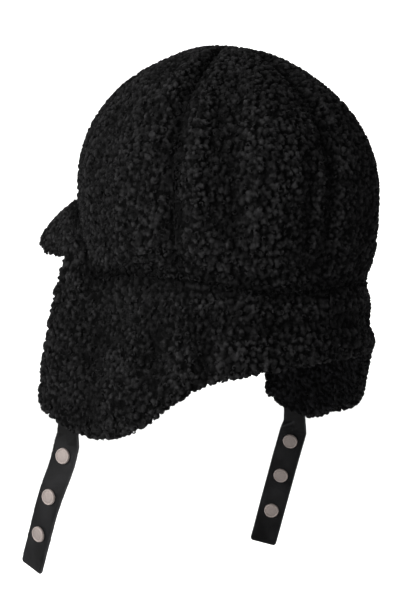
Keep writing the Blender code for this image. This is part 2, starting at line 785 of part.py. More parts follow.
def snap_profile(side):
    """Radius and height of a snap, from the cap's top through the post to its other end.

    The left caps are on the outer face over sockets, the right caps on the inner face under studs.
    """
    cap = CAP_DIAMETER / 2.0
    post = POST_DIAMETER / 2.0
    base = SNAP_BASE_DIAMETER / 2.0
    seat = STRAP_THICKNESS / 2.0 + GAP
    profile = [(cap * row.radius, seat + CAP_HEIGHT * row.height) for row in CAP_ROWS]
    profile += [(post, seat), (post, -seat), (base, -seat)]
    foot = -seat - SNAP_BASE_HEIGHT
    if side == "left":
        socket = SOCKET_DIAMETER / 2.0
        profile += [
            (base * SNAP_BASE_FOOT, foot),
            (socket, foot),
            (socket, foot + SOCKET_DEPTH),
            (0.0, foot + SOCKET_DEPTH),
        ]
        return profile
    stud = STUD_DIAMETER / 2.0
    flange = -seat - SNAP_BASE_HEIGHT / 2.0
    profile.append((base * SNAP_BASE_FOOT, flange))
    profile += [(stud * row.radius, flange - STUD_HEIGHT * row.height) for row in STUD_ROWS]
    return [(radius, -height) for radius, height in profile]


def build_hat():
    """Make every piece of the hat."""
    fleece = make_material("black_fleece", FLEECE_COLOUR, 0.95, 0.0)
    lining = make_material("black_fleece_lining", LINING_COLOUR, 0.95, 0.0)
    leather = make_material("black_leather", LEATHER_COLOUR, 0.45, 0.0)
    nickel = make_material("brushed_nickel", NICKEL_COLOUR, 0.32, 1.0)
    panels = (
        "crown_front_left", "crown_side_left", "crown_back_left",
        "crown_back_right", "crown_side_right", "crown_front_right",
    )
    for index, name in enumerate(panels):
        build_crown_panel(name, index, fleece)
    build_peak(fleece)
    for side in SIDES:
        shell = build_skirt_layer(
            "skirt_shell_" + side, side, 0.0, -SHELL_LAYER, True, 0.0, fleece,
        )
        inner = build_skirt_layer(
            "skirt_lining_" + side, side, -SHELL_LAYER - GAP,
            -SHELL_LAYER - GAP - LINING_LAYER, False, LINING_SHORT, lining,
        )
        pocket = strap_body(
            "pocket_" + side, side, -STRAP_TONGUE - GAP, STRAP_TONGUE,
            STRAP_WIDTH + 2.0 * GAP, STRAP_THICKNESS + 2.0 * GAP, 0.0, leather,
        )
        cut(shell, pocket)
        cut(inner, pocket)
        build_strap(side, leather)
        for index in range(SNAP_COUNT):
            build_lathe(
                "snap_{}_{}".format(side, index + 1), side, index, snap_profile(side), nickel,
            )


clear_scene()
build_hat()
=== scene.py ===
import math
from functools import lru_cache

import bmesh
import bpy
import numpy as np
from bpy.props import FloatProperty, FloatVectorProperty, IntProperty, PointerProperty
from bpy.types import Operator, Panel, PropertyGroup
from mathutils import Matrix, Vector
from mathutils.bvhtree import BVHTree
from mathutils.kdtree import KDTree


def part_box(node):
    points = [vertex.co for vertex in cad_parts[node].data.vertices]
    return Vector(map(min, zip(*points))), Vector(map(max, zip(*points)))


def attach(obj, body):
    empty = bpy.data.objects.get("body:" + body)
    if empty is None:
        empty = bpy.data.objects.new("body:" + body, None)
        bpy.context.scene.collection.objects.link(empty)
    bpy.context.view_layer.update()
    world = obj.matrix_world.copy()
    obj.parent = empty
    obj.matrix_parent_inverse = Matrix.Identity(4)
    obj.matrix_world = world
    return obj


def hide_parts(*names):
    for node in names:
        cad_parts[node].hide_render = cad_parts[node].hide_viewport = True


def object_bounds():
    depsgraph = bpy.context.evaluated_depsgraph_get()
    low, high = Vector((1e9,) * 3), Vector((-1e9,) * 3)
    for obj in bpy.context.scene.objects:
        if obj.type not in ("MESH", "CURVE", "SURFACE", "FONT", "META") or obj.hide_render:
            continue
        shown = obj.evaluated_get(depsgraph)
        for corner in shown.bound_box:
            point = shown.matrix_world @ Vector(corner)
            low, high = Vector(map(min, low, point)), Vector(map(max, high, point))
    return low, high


bl_info = {
    "name": "Fleece trapper hat",
    "version": (1, 0, 0),
    "blender": (4, 5, 0),
    "location": "3D View > Sidebar > Hat",
    "description": "Dresses the pieces of a black curly fleece trapper hat with snap straps",
    "category": "Object",
}

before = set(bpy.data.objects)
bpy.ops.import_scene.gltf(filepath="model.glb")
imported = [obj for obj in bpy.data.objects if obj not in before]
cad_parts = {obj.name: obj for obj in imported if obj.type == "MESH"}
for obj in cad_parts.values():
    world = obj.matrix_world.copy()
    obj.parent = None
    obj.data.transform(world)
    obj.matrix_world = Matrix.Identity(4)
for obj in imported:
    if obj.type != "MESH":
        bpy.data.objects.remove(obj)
CAD_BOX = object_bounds()
BODY = "root"

CROWN_NODES = (
    "crown_front_left", "crown_side_left", "crown_back_left",
    "crown_back_right", "crown_side_right", "crown_front_right",
)
SHELL_NODES = ("skirt_shell_left", "skirt_shell_right")
LINING_NODES = ("skirt_lining_left", "skirt_lining_right")
FLEECE_NODES = CROWN_NODES + ("peak",) + SHELL_NODES + LINING_NODES
SNAP_COUNT = 3

# Numbers that set the nubs and curls of the flaps' layers apart from the crown's
SHELL_SEED = 20
LINING_SEED = 30

# Middle of the head, from which the hat's outer faces look away, and the crease under it
CREASE_DROP = 0.062
CREASE_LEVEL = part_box("crown_side_left")[0][2]
HEAD_CENTRE = Vector((0.0, 0.0, CREASE_LEVEL + CREASE_DROP))

# Rise of the crease over its even level, by angle from the front towards the wearer's left, then
# its reach up and down, the angle that evens it out, and what fills its sharp bottom
CREASE_WAVE = (
    (0.0, 0.0), (58.0, 0.0), (84.0, 0.0095), (108.0, 0.0080), (132.0, 0.0042), (152.0, -0.0040),
    (168.0, -0.0026), (188.0, 0.0022), (206.0, 0.0046), (226.0, 0.0), (250.0, -0.0030),
    (276.0, 0.0040), (302.0, 0.0), (360.0, 0.0),
)
CREASE_REACH = 0.028
CREASE_EVEN = 6.0
CREASE_FILL = 0.0008
CREASE_FILL_REACH = 0.004

# How far the flaps' upper front corners rise to meet the peak
CORNER_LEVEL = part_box("skirt_shell_left")[1][2]
CORNER_LIFT = 0.0075
CORNER_TURN = (58.0, 84.0)
CORNER_REACH = 0.024

# The picture's width in pixels, and its pixels to a metre at the hat's middle
PHOTO_WIDTH = 400
PHOTO_SCALE = 1500.0

# Joining of doubled points, and rounds of smoothing after a solid is given even faces
MERGE_DISTANCE = 0.000002
FLEECE_ROUNDS = 6
LEATHER_ROUNDS = 3

# A point is covered by another piece this near to it, this straight ahead of its normal
COVER_REACH = 0.0018
COVER_FACING = 0.45

# Cosines past which a face looks out from the head, or in towards it
OUTER_FACING = 0.45
INNER_FACING = -0.3

# Cells and rounds of blurring that even out the hat's form, and the steps between its samples
FIELD_CELL = 0.004
FIELD_ROUNDS = 4
FIELD_SAMPLE = 0.003

# Rounds of blurring, and spans over which a point turns from plain to sewn and from ridge to valley
SPREAD_ROUNDS = 3
SEWN_SPAN = (0.02, 0.25)
HOLLOW_SPAN = (-0.0016, 0.0024)

# Nubs: fineness of what bends and roughens them, and the reach of a small one and of the rest
WANDER_SCALE = 310.0
CRUMB_SCALE = 900.0
CRUMB_HEIGHT = 0.16
NUB_REACH = 0.54
NUB_REACH_SPAN = 0.14
NUB_SHUFFLE = 0.8

# Curls: their sweep and lean, steps along and round them, and their sizes loose and along seams
CURL_CROWD = 2.2
CURL_SWEEP = math.radians(215.0)
CURL_START = 0.3
CURL_LEAN = 0.7
CURL_STEPS = 5
CURL_SIDES = 4
CURL_GIRTH = 0.53
LOOSE_SIZES = (0.75, 1.3)
SEAM_SIZES = (1.0, 1.7)

# Snaps: rise of the cap, level of the plate behind the strap, and widths as shares of the cap's
CAP_RISE = 0.0022
PLATE_LEVEL = -0.0026
POST_SHARE = 0.34
BASE_SHARE = 0.85
STUD_SHARE = 0.40

# Snaps: share of the radius that counts as the cap's edge, sharp angle, and swell of its bump
CAP_EDGE = 0.97
SHARP_ANGLE = math.radians(40.0)
CAP_SWELL = 260.0

# Strap edges: how sharp they are, the steps of their points, and their distance from a snap
EDGE_ANGLE = math.radians(45.0)
EDGE_STEP = 0.0003
SNAP_CLEAR = 0.0035

# Strap faces: width of the pressed line, reach and depth of the rounded edge, and the span over which its
# colour turns lighter
PRESS_WIDTH = 0.00032
ROUND_REACH = 0.0016
ROUND_SINK = 0.00015
PALE_EDGE_SPAN = (0.0002, 0.0010)

# Soft lights: width, and steps from the middle to the camera's right, towards the camera and up
LIGHTS = {
    "key": (0.9, -1.08, 0.95, 0.42),
    "fill": (1.2, 1.50, 0.90, -0.08),
    "top": (1.0, -0.20, -0.20, 1.50),
}
LIGHT_TARGET = Vector((0.0, 0.0, -0.12))

# Floor: shares of its radius that stay flat, that rise in a curve and that the wall is high
FLOOR_FLAT = 0.3
FLOOR_RISE = 0.35
FLOOR_WALL = 0.9
FLOOR_SIDES = 64
FLOOR_STEPS = 12

# Share of the floor's radius at which its light starts, and how fast it grows
GLOW_START = 0.45
GLOW_SLOPE = 4.0


class FleeceSettings(PropertyGroup):
    """Pile and colours of the curly fleece."""

    voxel: FloatProperty(
        name="Mesh Size", description="Size of the pile's faces",
        default=0.00091, unit="LENGTH")
    inner_voxel: FloatProperty(
        name="Inner Mesh Size", description="Size of the pile's faces on the flaps' inner layer",
        default=0.00108, unit="LENGTH")
    hidden_share: FloatProperty(
        name="Hidden Share", description="Share of the faces that is kept where little shows",
        default=0.14, subtype="FACTOR")
    nub_spacing: FloatProperty(
        name="Nub Spacing", description="Even distance between two nubs",
        default=0.0036, unit="LENGTH")
    nub_height: FloatProperty(
        name="Nub Height", description="Depth of the gaps between the nubs",
        default=0.0024, unit="LENGTH")
    nub_proud: FloatProperty(
        name="Nub Proud", description="How far the nubs stand over the piece's face",
        default=0.0011, unit="LENGTH")
    wander: FloatProperty(
        name="Nub Wander", description="How far the nubs' outlines wander",
        default=0.0016, unit="LENGTH")
    curl_spacing: FloatProperty(
        name="Curl Spacing", description="Least distance between two loose curls",
        default=0.0042, unit="LENGTH")
    curl_radius: FloatProperty(
        name="Curl Radius", description="Radius that a loose curl turns on",
        default=0.0010, unit="LENGTH")
    curl_thickness: FloatProperty(
        name="Curl Thickness", description="Thickness of a loose curl",
        default=0.0010, unit="LENGTH")
    seam_press: FloatProperty(
        name="Seam Press", description="How far sewn faces press towards each other",
        default=0.0006, unit="LENGTH")
    inner_pile: FloatProperty(
        name="Inner Pile", description="Share of the pile on the crown's inner face",
        default=0.35, subtype="FACTOR")
    seed: IntProperty(name="Seed", description="Seed of the nubs and curls", default=7)
    # Painted shade: the gap colour darkens the pile between the nubs, where shade falls.
    gap_shade_colour: FloatVectorProperty(
        name="Gap Colour", description="Colour deep between the nubs",
        default=(0.0003, 0.0003, 0.0003), subtype="COLOR")
    tip_colour: FloatVectorProperty(
        name="Tip Colour", description="Colour of the nubs' tips",
        default=(0.0078, 0.0077, 0.0079), subtype="COLOR")
    # Painted shade: the lining's tips are darker than the outer tips, for the shade on the flaps' inner
    # side.
    lining_shade_colour: FloatVectorProperty(
        name="Lining Colour", description="Colour of the tips on the flaps' inner layer",
        default=(0.0055, 0.0055, 0.0060), subtype="COLOR")


class LeatherSettings(PropertyGroup):
    """Flat size, edge line and colours of the straps."""

    width: FloatProperty(
        name="Width", description="Width of a strap laid flat", default=0.0197, unit="LENGTH")
    length: FloatProperty(
        name="Length", description="Length of a strap laid flat, with its sewn end",
        default=0.1140, unit="LENGTH")
    voxel: FloatProperty(
        name="Mesh Size", description="Size of the leather's faces",
        default=0.00064, unit="LENGTH")
    crease_inset: FloatProperty(
        name="Crease Inset", description="Distance of the pressed line from the edge",
        default=0.0017, unit="LENGTH")
    crease_depth: FloatProperty(
        name="Crease Depth", description="Depth of the pressed line",
        default=0.00022, unit="LENGTH")
    face_colour: FloatVectorProperty(
        name="Face Colour", description="Colour of the leather's face",
        default=(0.0016, 0.0016, 0.0017), subtype="COLOR")
    # A lighter colour towards the strap's long edges.
    edge_colour: FloatVectorProperty(
        name="Edge Colour", description="Colour of the rubbed edges",
        default=(0.0125, 0.0125, 0.0130), subtype="COLOR")


class SnapSettings(PropertyGroup):
    """Roundness and colour of the snap fasteners."""

    sides: IntProperty(name="Sides", description="Steps round a snap", default=56)
    rim_start: FloatProperty(
        name="Rim Start", description="Radius at which a cap's polished rim starts",
        default=0.0041, unit="LENGTH")
    rim_width: FloatProperty(
        name="Rim Width", description="Width over which the metal turns brighter",
        default=0.0006, unit="LENGTH")
    colour: FloatVectorProperty(
        name="Metal Colour", description="Colour of the brushed metal",
        default=(0.142, 0.123, 0.115), subtype="COLOR")


class StageSettings(PropertyGroup):
    """Camera, floor and lights."""

    azimuth: FloatProperty(
        name="Azimuth", description="Angle of the camera round the hat",
        default=math.radians(140.0), subtype="ANGLE")
    elevation: FloatProperty(
        name="Elevation", description="Angle of the camera over the horizon",
        default=math.radians(0.5), subtype="ANGLE")
    distance: FloatProperty(
        name="Distance", description="Distance of the camera from the hat's middle",
        default=1.10, unit="LENGTH")
    height: FloatProperty(
        name="Height", description="Height that the camera looks at",
        default=-0.166, unit="LENGTH")
    shift: FloatProperty(
        name="Shift", description="Sideways shift of the picture, as a share of its width",
        default=-27.0 / PHOTO_WIDTH)
    floor_drop: FloatProperty(
        name="Floor Drop", description="Depth of the floor under the hat's lowest point",
        default=0.06, unit="LENGTH")
    floor_radius: FloatProperty(
        name="Floor Radius", description="Radius of the floor and its rising edge",
        default=5.6, unit="LENGTH")
    rim_glow: FloatProperty(
        name="Rim Glow", description="Strength of the light on the floor's rising edge", default=0.50)
    key_power: FloatProperty(
        name="Key Power", description="Power of the main soft light", default=75.0, unit="POWER")
    fill_power: FloatProperty(
        name="Fill Power", description="Power of the weaker soft light", default=9.0, unit="POWER")
    top_power: FloatProperty(
        name="Top Power", description="Power of the soft light overhead", default=13.0, unit="POWER")
    sky_strength: FloatProperty(
        name="Sky Strength", description="Strength of the even light from all round", default=0.41)


class Signal:
    """An output socket of a node, which Python's operators turn into Math nodes."""

    def __init__(self, graph, socket):
        self.graph = graph
        self.socket = socket

    def calculate(self, operation, first, second):
        """One Math node on numbers or sockets."""
        return self.graph.add("ShaderNodeMath", {"operation": operation}, {0: first, 1: second})

    def pick(self, name):
        """Another output of the same node."""
        return Signal(self.graph, self.socket.node.outputs[name])

    def __add__(self, other):
        return self.calculate("ADD", self, other)

    def __radd__(self, other):
        return self.calculate("ADD", other, self)

    def __sub__(self, other):
        return self.calculate("SUBTRACT", self, other)

    def __rsub__(self, other):
        return self.calculate("SUBTRACT", other, self)

    def __mul__(self, other):
        return self.calculate("MULTIPLY", self, other)

    def __rmul__(self, other):
        return self.calculate("MULTIPLY", other, self)

    def __truediv__(self, other):
        return self.calculate("DIVIDE", self, other)

    def __rtruediv__(self, other):
        return self.calculate("DIVIDE", other, self)

    def __pow__(self, other):
        return self.calculate("POWER", self, other)

    def at_least(self, low):
        """The greater of two values."""
        return self.calculate("MAXIMUM", self, low)

    def at_most(self, high):
        """The smaller of two values."""
        return self.calculate("MINIMUM", self, high)

    def clamp(self):
        """Keep a value between 0 and 1."""
        return self.at_least(0.0).at_most(1.0)

    def sine(self):
        """Sine of an angle."""
        return self.calculate("SINE", self, 0.0)


class Graph:
    """A node tree, with one method that adds any node."""

    def __init__(self, tree):
        self.tree = tree

    def add(self, kind, settings=None, inputs=None, output=0):
        """Add a node with its settings, then its sockets' values or links."""
        node = self.tree.nodes.new(kind)
        for name, value in (settings or {}).items():
            setattr(node, name, value)
        for name, value in (inputs or {}).items():
            for item in value if isinstance(value, list) else [value]:
                if isinstance(item, Signal):
                    self.tree.links.new(item.socket, node.inputs[name])
                else:
                    node.inputs[name].default_value = item
        return Signal(self, node.outputs[output]) if node.outputs else None

    def vector(self, operation, *values, output=0):
        """One Vector Math node."""
        return self.add("ShaderNodeVectorMath", {"operation": operation}, dict(enumerate(values)), output)

    def mix(self, factor, low, high):
        """Mix two colours."""
        inputs = {0: factor, 6: low, 7: high}
        return self.add("ShaderNodeMix", {"data_type": "RGBA"}, inputs, 2)


def opaque(colour):
    """A colour with full alpha."""
    return (*colour, 1.0)


def new_material(name):
    """A material with one Principled shader, and its graph."""
    material = bpy.data.materials.new(name)
    material.use_nodes = True
    tree = material.node_tree
    return material, Graph(tree), tree.nodes["Principled BSDF"]


def connect(graph, shader, links):
    """Link signals to the shader's sockets."""
    for name, value in links.items():
        graph.tree.links.new(value.socket, shader.inputs[name])


def fleece_material(name, settings, tip_colour):
    """Black curly fleece: painted shade in the gaps between the nubs and in the hat's valleys, painted
    light on its ridges, the fleece's own colour at the nub tips, and fine fibres as bump.
    """
    material, graph, shader = new_material(name)
    place = graph.add("ShaderNodeTexCoord", output="Object")
    nub = graph.add("ShaderNodeAttribute", {"attribute_name": "nub"}, output="Fac")
    tone = graph.add("ShaderNodeAttribute", {"attribute_name": "tone"}, output="Fac")
    hollow = graph.add("ShaderNodeAttribute", {"attribute_name": "hollow"}, output="Fac")
    patches = graph.add("ShaderNodeTexNoise", inputs={"Vector": place, "Scale": 45.0, "Detail": 2.0})
    fibres = graph.add(
        "ShaderNodeTexNoise", inputs={"Vector": place, "Scale": 1500.0, "Detail": 3.0, "Distortion": 1.2})
    strands = graph.add(
        "ShaderNodeTexVoronoi", {"feature": "SMOOTH_F1"},
        {"Vector": place, "Scale": 780.0, "Smoothness": 0.6})
    # Painted shade: the colour darkens from the nub tips into the gaps between them and in the hat's
    # valleys, with painted light on its ridges; the cells' tone, the patches and the fibres are the
    # fleece's own random tone.
    light = (nub.clamp() ** 2.7) * (0.5 + tone * 0.5) * (0.7 + patches * 0.6)
    light = (light * (0.75 + fibres * 0.5) * (1.34 - hollow * 1.42)).clamp()
    colour = graph.mix(light, opaque(settings.gap_shade_colour), opaque(tip_colour))
    crimp = graph.add("ShaderNodeBump", inputs={"Strength": 0.55, "Distance": 0.0006, "Height": strands})
    fuzz = graph.add(
        "ShaderNodeBump", inputs={"Strength": 0.5, "Distance": 0.0003, "Height": fibres, "Normal": crimp})
    connect(graph, shader, {"Base Color": colour, "Roughness": 0.72 + fibres * 0.25, "Normal": fuzz})
    shader.inputs["Specular IOR Level"].default_value = 0.018
    return material


def leather_material(settings):
    """Thin black leather with a fine grain, a face mottled partly by its own uneven tone and partly by
    painted sheen, and lighter edges.
    """
    material, graph, shader = new_material("strap_leather")
    place = graph.add("ShaderNodeTexCoord", output="Object")
    edge = graph.add("ShaderNodeAttribute", {"attribute_name": "edge"}, output="Fac")
    cloud = graph.add("ShaderNodeTexNoise", inputs={"Vector": place, "Scale": 60.0, "Detail": 4.0})
    pores = graph.add(
        "ShaderNodeTexVoronoi", {"feature": "DISTANCE_TO_EDGE"}, {"Vector": place, "Scale": 1250.0})
    creases = graph.add(
        "ShaderNodeTexNoise", inputs={"Vector": place, "Scale": 240.0, "Detail": 3.0, "Distortion": 0.8})
    # The face turns to a lighter colour towards the strap's long edges.
    lighter = (edge * (0.6 + cloud * 0.8)).clamp()
    # Partly the leather's own uneven tone and partly painted sheen: a soft cloud mottles the face colour
    # darker and brighter.
    face = graph.mix(((cloud - 0.35) * 3.0).clamp(), opaque(tuple(c * 0.3 for c in settings.face_colour)),
                     opaque(tuple(c * 2.4 for c in settings.face_colour)))
    colour = graph.mix(lighter, face, opaque(settings.edge_colour))
    grain = graph.add(
        "ShaderNodeBump",
        inputs={"Strength": 0.35, "Distance": 0.00012, "Height": (pores * 6.0).at_most(1.0)})
    folds = graph.add(
        "ShaderNodeBump", inputs={"Strength": 0.35, "Distance": 0.0004, "Height": creases, "Normal": grain})
    connect(graph, shader, {
        "Base Color": colour,
        "Roughness": 0.40 + cloud * 0.22 - lighter * 0.08,
        "Normal": folds,
    })
    shader.inputs["Specular IOR Level"].default_value = 0.029
    return material


def nickel_material(settings):
    """Brushed nickel, a little warm, with a brighter rim, small dents and fine marks."""
    material, graph, shader = new_material("snap_nickel")
    place = graph.add("ShaderNodeTexCoord", output="Object")
    ring = graph.add("ShaderNodeAttribute", {"attribute_name": "ring"}, output="Fac")
    dull = graph.add("ShaderNodeTexNoise", inputs={"Vector": place, "Scale": 900.0, "Detail": 3.0})
    marks = graph.add("ShaderNodeTexNoise", inputs={"Vector": place, "Scale": 3200.0, "Detail": 1.0})
    swell = (ring * CAP_SWELL).sine()
    rim = ((ring - settings.rim_start) / settings.rim_width).clamp()
    light = ((dull - 0.32) * 2.4).clamp() * 0.6 + rim * 0.5
    colour = graph.mix(light.clamp(), opaque(tuple(c * 0.80 for c in settings.colour)),
                       opaque(tuple(c * 1.35 for c in settings.colour)))
    bump = graph.add(
        "ShaderNodeBump",
        inputs={"Strength": 0.25, "Distance": 0.00005, "Height": swell * 0.5 + marks})
    connect(graph, shader, {"Base Color": colour, "Roughness": 0.66 + dull * 0.2, "Normal": bump})
    shader.inputs["Metallic"].default_value = 1.0
    return material


def stage_material(settings):
    """A pale matt floor with a lit rising edge."""
    material, graph, shader = new_material("pale_floor")
    place = graph.add("ShaderNodeTexCoord", output="Object")
    mottle = graph.add("ShaderNodeTexNoise", inputs={"Vector": place, "Scale": 3.0})
    colour = graph.mix(mottle, (0.93, 0.93, 0.93, 1.0), (0.95, 0.95, 0.95, 1.0))
    distance = graph.vector("LENGTH", place, output="Value")
    rim = ((distance / settings.floor_radius - GLOW_START) * GLOW_SLOPE).clamp()
    glow = graph.mix(rim, (0.0, 0.0, 0.0, 1.0), (1.0, 1.0, 1.0, 1.0))
    connect(graph, shader, {"Base Color": colour, "Emission Color": glow})
    shader.inputs["Emission Strength"].default_value = settings.rim_glow
    shader.inputs["Roughness"].default_value = 0.9
    return material


def link_object(name, mesh, material=None):
    """Put a mesh into the scene as an object at the origin."""
    if material is not None:
        mesh.materials.clear()
        mesh.materials.append(material)
    item = bpy.data.objects.new(name, mesh)
    bpy.context.scene.collection.objects.link(item)
    return item


def merged_copy(node):
    """A copy of a node's mesh with its loose triangles joined."""
    work = bmesh.new()
    work.from_mesh(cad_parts[node].data)
    bmesh.ops.remove_doubles(work, verts=work.verts, dist=MERGE_DISTANCE)
    mesh = bpy.data.meshes.new(node + "_copy")
    work.to_mesh(mesh)
    work.free()
    return mesh


def settle(item):
    """Turn an object's modifiers into its plain mesh."""
    depsgraph = bpy.context.evaluated_depsgraph_get()
    mesh = bpy.data.meshes.new_from_object(
        item.evaluated_get(depsgraph), preserve_all_data_layers=True, depsgraph=depsgraph)
    old = item.data
    item.modifiers.clear()
    item.data = mesh
    bpy.data.meshes.remove(old)


def even_mesh(name, node, voxel, rounds, material):
    """A node's form as an even, softly rounded mesh."""
    item = link_object(name, merged_copy(node), material)
    remesh = item.modifiers.new("even", "REMESH")
    remesh.mode = "VOXEL"
    remesh.voxel_size = voxel
    remesh.use_smooth_shade = True
    soften = item.modifiers.new("soften", "SMOOTH")
    soften.factor = 0.5
    soften.iterations = rounds
    settle(item)
    return item


def read_points(mesh):
    """Places and normals of a mesh's points."""
    count = len(mesh.vertices)
    places = np.empty(count * 3)
    normals = np.empty(count * 3)
    mesh.vertices.foreach_get("co", places)
    mesh.vertices.foreach_get("normal", normals)
    return places.reshape(-1, 3), normals.reshape(-1, 3)


def store(mesh, name, values):
    """Keep one number for each point of a mesh."""
    attribute = mesh.attributes.get(name) or mesh.attributes.new(name, "FLOAT", "POINT")
    attribute.data.foreach_set("value", np.asarray(values, dtype=np.float32))


def ease(values, low, high):
    """Rise from 0 at low to 1 at high."""
    part = np.clip((values - low) / (high - low), 0.0, 1.0)
    return part * part * (3.0 - 2.0 * part)


def covered_points(node, places, normals):
    """True at the points that face a neighbouring piece at once."""
    covered = np.zeros(len(places), dtype=bool)
    low, high = (np.array(corner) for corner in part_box(node))
    for other in FLEECE_NODES:
        if other == node:
            continue
        other_low, other_high = (np.array(corner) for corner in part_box(other))
        if np.any(other_low > high + COVER_REACH) or np.any(other_high < low - COVER_REACH):
            continue
        near = np.all((places > other_low - COVER_REACH) & (places < other_high + COVER_REACH), axis=1)
        work = bmesh.new()
        work.from_mesh(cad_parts[other].data)
        tree = BVHTree.FromBMesh(work)
        work.free()
        for index in np.nonzero(near & ~covered)[0]:
            place = Vector(places[index])
            found, _, _, distance = tree.find_nearest(place, COVER_REACH)
            if found is None:
                continue
            if distance < 1e-6 or (found - place).dot(Vector(normals[index])) > COVER_FACING * distance:
                covered[index] = True
    return covered


def spread(mesh, values, rounds):
    """Blur one number for each point along the mesh's edges."""
    edges = np.empty(len(mesh.edges) * 2, dtype=np.int64)
    mesh.edges.foreach_get("vertices", edges)
    first, second = edges.reshape(-1, 2).T
    count = np.bincount(edges, minlength=len(values))
    for _ in range(rounds):
        total = np.bincount(first, values[second], len(values))
        total += np.bincount(second, values[first], len(values))
        values = (values + total) / (count + 1.0)
    return values


def outer_samples(node):
    """Even samples of a CAD node's outward faces."""
    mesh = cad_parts[node].data
    mesh.calc_loop_triangles()
    samples = []
    for face in mesh.loop_triangles:
        first, second, third = (mesh.vertices[index].co for index in face.vertices)
        middle = (first + second + third) / 3.0
        away = middle - HEAD_CENTRE
        away.z = max(away.z, 0.0)
        if face.normal.dot(away.normalized()) < OUTER_FACING:
            continue
        longest = max((second - first).length, (third - first).length)
        steps = max(int(longest / FIELD_SAMPLE), 1)
        for row in range(steps):
            for column in range(steps - row):
                along, across = (row + 1.0 / 3.0) / steps, (column + 1.0 / 3.0) / steps
                samples.append(first + (second - first) * along + (third - first) * across)
    return samples


def blur(grid):
    """Even out a grid of sums along its three axes."""
    for axis in range(3):
        grid = grid + np.roll(grid, 1, axis) + np.roll(grid, -1, axis)
    return grid / 27.0


@lru_cache(maxsize=1)
def hat_form():
    """Grid of the hat's form with its folds evened out: sums of places, and counts."""
    nodes = CROWN_NODES + SHELL_NODES
    samples = np.array([tuple(place) for node in nodes for place in outer_samples(node)])
    low = np.array(CAD_BOX[0]) - FIELD_CELL * (FIELD_ROUNDS + 2)
    shape = np.ceil((np.array(CAD_BOX[1]) - low) / FIELD_CELL).astype(int) + FIELD_ROUNDS + 3
    cells = tuple(((samples - low) / FIELD_CELL).astype(int).T)
    grids = []
    for values in (*samples.T, np.ones(len(samples))):
        grid = np.zeros(shape)
        np.add.at(grid, cells, values)
        for _ in range(FIELD_ROUNDS):
            grid = blur(grid)
        grids.append(grid)
    return low, grids


def hollow_depth(places, normals):
    """Depth of each point under the evened form, above 0 in a valley."""
    low, grids = hat_form()
    cells = tuple(((places - low) / FIELD_CELL).astype(int).T)
    count = np.maximum(grids[3][cells], 1e-9)
    middle = np.stack([grid[cells] / count for grid in grids[:3]], axis=1)
    return np.einsum("ij,ij->i", middle - places, normals)


def pile_share(node, mesh, settings):
    """Share of the full pile at each point, and the points that nothing shows."""
    places, normals = read_points(mesh)
    away = places - np.array(HEAD_CENTRE)
    away[:, 2] = np.maximum(away[:, 2], 0.0)
    away /= np.linalg.norm(away, axis=1)[:, None]
    facing = np.einsum("ij,ij->i", away, normals)
    covered = covered_points(node, places, normals)
    shown = facing < -OUTER_FACING if node in LINING_NODES else facing > OUTER_FACING
    covered &= ~shown
    share = np.ones(len(places))
    if node in CROWN_NODES:
        outward = ease(facing, INNER_FACING, -INNER_FACING)
        share = settings.inner_pile + (1.0 - settings.inner_pile) * outward
    share = np.where(covered, 0.0, share)
    return spread(mesh, share, 1), covered, facing


def thin_out(item, weights, share):
    """Use fewer faces where the weights are over 0."""
    hidden = item.vertex_groups.new(name="hidden")
    chosen = np.nonzero(weights)[0]
    hidden.add([int(index) for index in chosen], 1.0, "REPLACE")
    part = len(chosen) / len(weights)
    modifier = item.modifiers.new("thin out", "DECIMATE")
    modifier.ratio = 1.0 - part * (1.0 - share)
    modifier.vertex_group = hidden.name
    settle(item)
    item.vertex_groups.clear()


PILE_INPUTS = (
    ("Nub Spacing", "NodeSocketFloat"), ("Nub Height", "NodeSocketFloat"),
    ("Nub Proud", "NodeSocketFloat"), ("Nub Wander", "NodeSocketFloat"),
    ("Curl Spacing", "NodeSocketFloat"), ("Curl Radius", "NodeSocketFloat"),
    ("Curl Thickness", "NodeSocketFloat"), ("Seed", "NodeSocketInt"),
    ("Fleece", "NodeSocketMaterial"),
)


def scatter(graph, surface, spacing, seed, share):
    """Points about one spacing apart on a surface, fewer where the share is low."""
    return graph.add(
        "GeometryNodeDistributePointsOnFaces", {"distribute_method": "POISSON"},
        {"Mesh": surface, "Distance Min": spacing, "Density Max": CURL_CROWD / (spacing * spacing),
         "Density Factor": share, "Seed": seed})


def scatter_curls(graph, piece, spacing, seed, share, sizes):
    """Short fat curls at all angles on a surface, between two sizes."""
    spots = scatter(graph, piece, spacing, seed, share)
    spin = graph.add(
        "FunctionNodeRandomValue", {"data_type": "FLOAT_VECTOR"},
        {0: (-CURL_LEAN, -CURL_LEAN, -math.pi), 1: (CURL_LEAN, CURL_LEAN, math.pi), "Seed": 5})
    turned = graph.add(
        "FunctionNodeRotateRotation", {"rotation_space": "LOCAL"},
        {"Rotation": spots.pick("Rotation"), "Rotate By": spin})
    scale = graph.add(
        "FunctionNodeRandomValue", {"data_type": "FLOAT"}, {2: sizes[0], 3: sizes[1], "Seed": 9}, output=1)
    curl = curl_shape(graph, piece.pick("Curl Radius"), piece.pick("Curl Thickness"))
    return graph.add(
        "GeometryNodeInstanceOnPoints",
        inputs={"Points": spots, "Instance": curl, "Rotation": turned, "Scale": scale})


